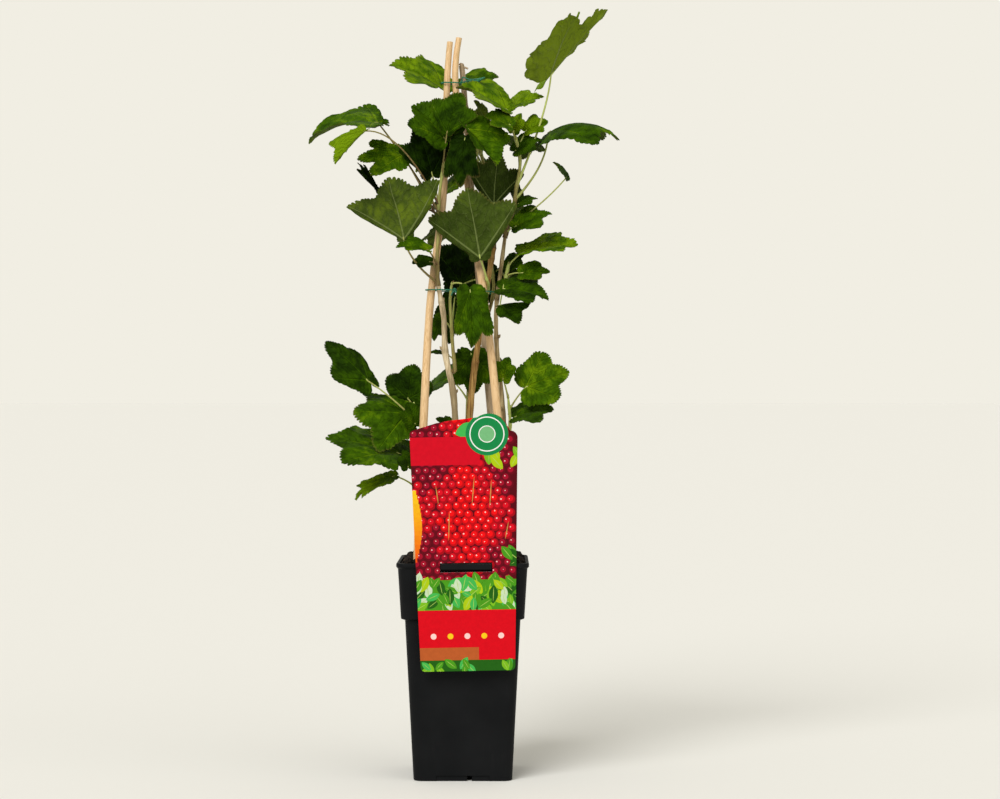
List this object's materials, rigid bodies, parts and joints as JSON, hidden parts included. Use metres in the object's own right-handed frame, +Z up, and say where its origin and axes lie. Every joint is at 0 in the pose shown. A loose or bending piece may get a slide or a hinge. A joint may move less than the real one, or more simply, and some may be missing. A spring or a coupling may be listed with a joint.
{
  "type": "potted redcurrant bush",
  "caption": "Young redcurrant bush with lobed, toothed leaves, tied to bamboo canes in a deep square black nursery pot with a hanging printed label.",
  "frame": {"origin": "middle of the pot's underside, on the surface that it stands on", "axes": "+Z up along the stems; -Y is the front, where the label hangs; +X to the right seen from the front"},
  "size_m": [0.285, 0.1924, 0.6968],
  "materials": {
    "pot_plastic": "satin",
    "soil": "matte",
    "label_card": "satin",
    "cane": "satin",
    "bark": "matte",
    "twine": "satin",
    "leaf": "satin"
  },
  "bodies": {
    "root": {"pot": "pot_plastic", "soil": "soil", "label": "label_card", "cane_left": "cane", "cane_right": "cane", "cane_back": "cane", "wood_left": "bark", "wood_middle": "bark", "wood_right": "bark", "tie_middle": "twine", "tie_top": "twine", "shoot_left": "leaf", "shoot_middle": "leaf", "shoot_right": "leaf", "shoot_inner": "leaf", "shoot_low_left": "leaf", "shoot_low_right": "leaf", "shoot_side_right": "leaf", "spur_middle": "leaf", "shoot_back_high": "leaf", "shoot_back_low": "leaf"}
  },
  "joints": []
}
